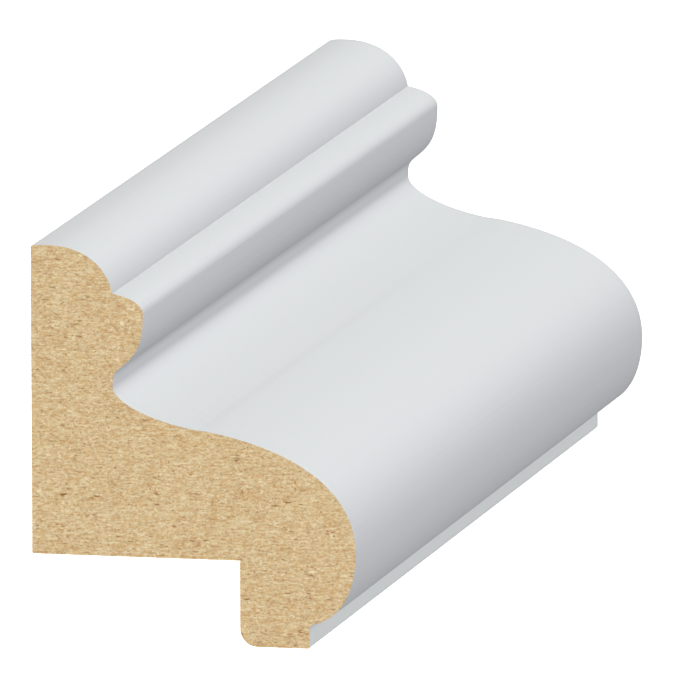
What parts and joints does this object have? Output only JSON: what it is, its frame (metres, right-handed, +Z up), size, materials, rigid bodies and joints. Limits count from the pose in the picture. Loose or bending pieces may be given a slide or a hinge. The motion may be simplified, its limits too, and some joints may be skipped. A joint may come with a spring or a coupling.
{
  "type": "wainscot cap moulding",
  "caption": "Primed MDF cap moulding with a bead, thumb moulding, cove and long round nose, rabbeted below to drop over the top edge of wainscot panelling.",
  "frame": {"origin": "middle of the flat back, where it stands on the wall", "axes": "+X out of the wall, +Y along the length, to the right as seen from the room, +Z up"},
  "size_m": [0.0318, 0.127, 0.0382],
  "materials": {
    "primed_mdf": "flat white factory primer, smooth, with faint lines along the run",
    "raw_mdf": "sawn MDF, matt tan with paler and darker fibres"
  },
  "bodies": {
    "root": {"wainscot_cap": "primed_mdf"}
  },
  "joints": []
}
